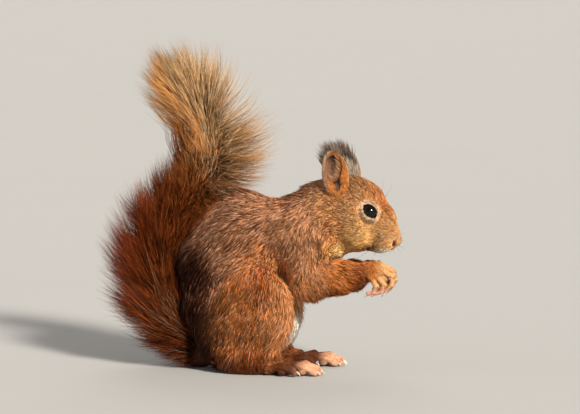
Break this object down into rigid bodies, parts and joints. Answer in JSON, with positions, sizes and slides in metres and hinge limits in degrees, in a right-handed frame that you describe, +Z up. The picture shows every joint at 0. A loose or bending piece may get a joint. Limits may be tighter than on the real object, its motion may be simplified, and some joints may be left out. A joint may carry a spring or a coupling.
{
  "type": "red squirrel model",
  "caption": "Life-size still model of a red squirrel sitting on its haunches, hands held together at its chin, bushy tail upright behind its back.",
  "frame": {"origin": "middle of the footprint box, on the floor that the soles, the rump and the root of the tail rest on", "axes": "+X the way the animal faces, +Y its left side, +Z up"},
  "size_m": [0.1862, 0.0812, 0.1963],
  "materials": {
    "coat_back": "matt short fur",
    "coat_head": "matt short fur",
    "ears": "matt thin fur with a dark tuft",
    "eyes": "wet gloss",
    "coat_legs": "matt fur",
    "coat_arms": "matt fur",
    "paws": "matt short fur and bare pads",
    "tail_dark": "long coarse fur",
    "tail_pale": "long coarse fur"
  },
  "bodies": {
    "root": {"trunk": "coat_back", "neck": "coat_back", "head": "coat_head", "ear_right": "ears", "ear_left": "ears", "eye_right": "eyes", "eye_left": "eyes", "thigh_right": "coat_legs", "thigh_left": "coat_legs", "lower_leg_right": "coat_legs", "lower_leg_left": "coat_legs", "upper_arm_right": "coat_arms", "upper_arm_left": "coat_arms", "forearm_right": "coat_arms", "forearm_left": "coat_arms", "foot_right": "paws", "foot_left": "paws", "hand_right": "paws", "hand_left": "paws", "tail_root": "tail_dark", "tail_base": "tail_dark", "tail_lower": "tail_dark", "tail_middle": "tail_dark", "tail_fan": "tail_pale", "tail_tip": "tail_pale"}
  },
  "joints": []
}
